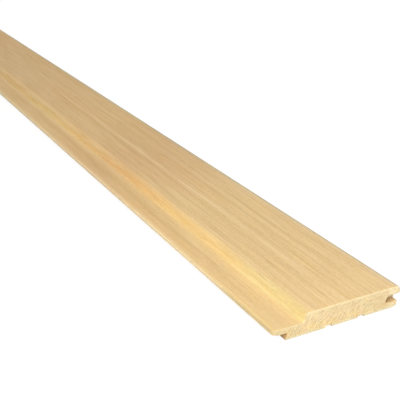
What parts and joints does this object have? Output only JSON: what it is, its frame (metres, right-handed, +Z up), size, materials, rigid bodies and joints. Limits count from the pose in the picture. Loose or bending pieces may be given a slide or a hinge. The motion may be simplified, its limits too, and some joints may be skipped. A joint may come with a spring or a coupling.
{
  "type": "tongue and groove board",
  "caption": "Solid wood cladding board with a tongue and shouldered bevel on one edge, a groove between lips on the other, and relief grooves on the back.",
  "frame": {"origin": "under the middle of the board, on the plane of its back, at half its length and half its overall width", "axes": "+X along the board to the end seen in the picture, +Y across it towards the groove, +Z up out of the face"},
  "size_m": [1.8, 0.096, 0.015],
  "materials": {
    "planed_wood": "planed, unfinished, matt"
  },
  "bodies": {
    "root": {"board": "planed_wood"}
  },
  "joints": []
}
